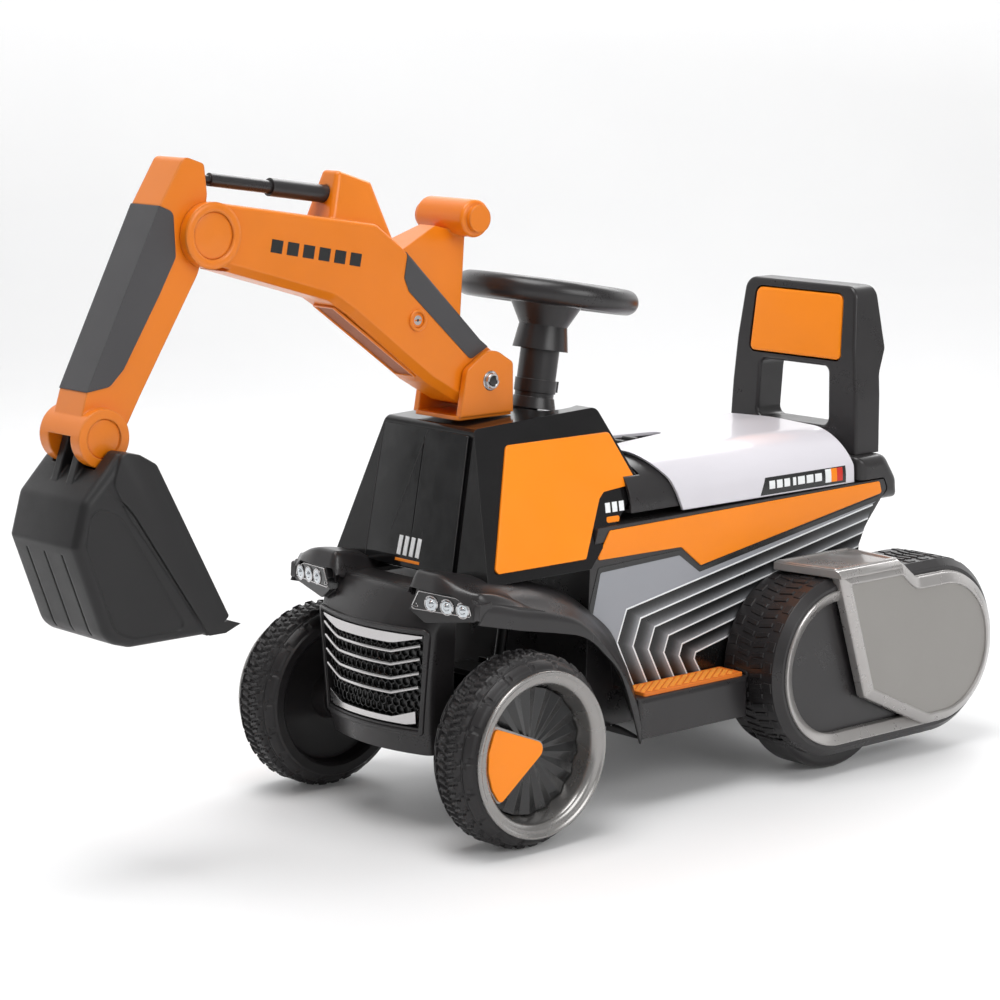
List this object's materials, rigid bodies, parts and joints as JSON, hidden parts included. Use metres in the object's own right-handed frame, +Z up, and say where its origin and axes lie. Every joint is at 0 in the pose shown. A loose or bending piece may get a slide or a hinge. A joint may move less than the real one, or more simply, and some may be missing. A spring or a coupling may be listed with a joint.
{
  "type": "ride-on toy excavator",
  "caption": "Child's ride-on toy excavator with a hand-worked digging arm, steered front wheels, lifting seat, backrest and moulded rear track pods.",
  "frame": {"origin": "centre of the bounding box at floor level", "axes": "+Z up, -Y towards the bucket (the front), +X towards the driver's left"},
  "size_m": [0.412, 1.1646, 0.7004],
  "materials": {
    "charcoal": "satin dark plastic",
    "battery_case": "matte",
    "steel": "zinc plated",
    "tyre_black": "blow-moulded, satin",
    "silver": "silver painted plastic",
    "black_gloss": "gloss",
    "orange": "semi-gloss",
    "decal": "printed film",
    "seat_white": "gloss",
    "lens": "gloss",
    "chrome_plated": "chrome plated plastic",
    "mat_orange": "matte",
    "inlay_grey": "satin"
  },
  "bodies": {
    "main": {"chassis_frame": "charcoal", "rear_axle": "steel", "battery": "battery_case", "gearbox_motor": "charcoal", "body_shell": "charcoal", "side_trims": "orange", "side_decals": "decal", "seat_front_arch": "charcoal", "rear_end_cap": "charcoal", "backrest_frame": "charcoal", "backrest_pad": "orange", "cab_shell": "charcoal", "cab_front_panel": "black_gloss", "cab_side_panels": "orange", "front_bumper": "charcoal", "grille_mesh": "black_gloss", "grille_bars": "chrome_plated", "headlight_bezels": "black_gloss", "headlight_lenses": "lens", "footboard_left": "charcoal", "footboard_right": "charcoal", "footboard_pads": "mat_orange", "track_pod_left": "charcoal", "track_pod_right": "charcoal", "track_rings": "silver", "track_cover_left": "silver", "track_cover_right": "silver"},
    "seat": {"seat_lid": "seat_white"},
    "pedal": {"drive_pedal": "charcoal"},
    "rocker": {"drive_switch": "charcoal"},
    "steering": {"steering_shaft": "steel", "steering_column": "charcoal", "steering_wheel": "charcoal"},
    "horn": {"horn_button": "charcoal"},
    "link": {"steering_link": "charcoal"},
    "left_knuckle": {"knuckle_left": "charcoal"},
    "right_knuckle": {"knuckle_right": "charcoal"},
    "left_front_wheel": {"front_tyre_left": "tyre_black", "front_rim_left": "silver", "wheel_fan_left": "black_gloss", "wheel_badge_left": "orange"},
    "right_front_wheel": {"front_tyre_right": "tyre_black", "front_rim_right": "silver", "wheel_fan_right": "black_gloss", "wheel_badge_right": "orange"},
    "left_rear_wheel": {"rear_wheel_left": "charcoal"},
    "right_rear_wheel": {"rear_wheel_right": "charcoal"},
    "swing": {"boom_base": "orange", "boom_pin": "steel"},
    "boom_arm": {"boom": "orange", "boom_inlays": "inlay_grey", "boom_handle": "orange", "screws": "steel", "elbow_pin": "steel", "strut_tube": "charcoal"},
    "stick_arm": {"stick": "orange", "stick_inlay": "inlay_grey", "bucket_pin": "steel"},
    "strut": {"strut_rod": "charcoal"},
    "scoop": {"bucket": "charcoal"}
  },
  "joints": [
    {"name": "seat_hinge", "type": "hinge", "parent": "main", "child": "seat", "pos_m": [0, 0.4263, 0.345], "axis": [-1, 0, 0], "range_deg": [0, 60]},
    {"name": "pedal_press", "type": "hinge", "parent": "main", "child": "pedal", "pos_m": [0, 0.1243, 0.119], "axis": [1, 0, 0], "range_deg": [0, 6], "stiffness_Nm_per_rad": 2, "springref_deg": -2.86},
    {"name": "switch_rock", "type": "hinge", "parent": "main", "child": "rocker", "pos_m": [-0.034, 0.0812, 0.3793], "axis": [1, 0, 0], "range_deg": [-7, 7]},
    {"name": "steering_turn", "type": "hinge", "parent": "main", "child": "steering", "pos_m": [0, 0.0363, 0.413], "axis": [0, 0.1736, 0.9848], "range_deg": [-25, 25]},
    {"name": "horn_press", "type": "slide", "parent": "steering", "child": "horn", "axis": [0, -0.1736, -0.9848], "range_m": [0, 0.003], "stiffness_N_per_m": 400, "springref_m": -0.002},
    {"name": "link_slide", "type": "slide", "parent": "main", "child": "link", "axis": [1, 0, 0], "range_m": [-0.0195, 0.0195]},
    {"name": "left_knuckle_turn", "type": "hinge", "parent": "main", "child": "left_knuckle", "pos_m": [0.112, -0.1257, 0.1], "axis": [0, 0, 1], "range_deg": [-25.5, 25.5]},
    {"name": "right_knuckle_turn", "type": "hinge", "parent": "main", "child": "right_knuckle", "pos_m": [-0.112, -0.1257, 0.1], "axis": [0, 0, 1], "range_deg": [-25.5, 25.5]},
    {"name": "left_front_spin", "type": "hinge", "parent": "left_knuckle", "child": "left_front_wheel", "pos_m": [0.16, -0.1257, 0.1], "axis": [1, 0, 0], "continuous": true},
    {"name": "right_front_spin", "type": "hinge", "parent": "right_knuckle", "child": "right_front_wheel", "pos_m": [-0.16, -0.1257, 0.1], "axis": [1, 0, 0], "continuous": true},
    {"name": "left_rear_spin", "type": "hinge", "parent": "main", "child": "left_rear_wheel", "pos_m": [0.145, 0.3393, 0.098], "axis": [1, 0, 0], "continuous": true},
    {"name": "right_rear_spin", "type": "hinge", "parent": "main", "child": "right_rear_wheel", "pos_m": [-0.145, 0.3393, 0.098], "axis": [1, 0, 0], "continuous": true},
    {"name": "boom_swing", "type": "hinge", "parent": "main", "child": "swing", "pos_m": [0, -0.0607, 0.42], "axis": [0, 0, 1], "range_deg": [-20, 20]},
    {"name": "boom_lift", "type": "hinge", "parent": "swing", "child": "boom_arm", "pos_m": [0, -0.0557, 0.457], "axis": [-1, 0, 0], "range_deg": [-25, 15]},
    {"name": "stick_curl", "type": "hinge", "parent": "boom_arm", "child": "stick_arm", "pos_m": [0, -0.4027, 0.626], "axis": [1, 0, 0], "range_deg": [-15, 15]},
    {"name": "strut_slide", "type": "slide", "parent": "boom_arm", "child": "strut", "axis": [0, -0.9899, 0.1419], "range_m": [-0.0142, 0.0142]},
    {"name": "bucket_curl", "type": "hinge", "parent": "stick_arm", "child": "scoop", "pos_m": [0, -0.5317, 0.443], "axis": [1, 0, 0], "range_deg": [-25, 25]}
  ],
  "couplings": [
    {"joint": "link_slide", "follows": "steering_turn", "m_per_rad": -0.044},
    {"joint": "left_knuckle_turn", "follows": "steering_turn", "ratio": 1},
    {"joint": "right_knuckle_turn", "follows": "steering_turn", "ratio": 1},
    {"joint": "strut_slide", "follows": "stick_curl", "m_per_rad": 0.0533}
  ]
}
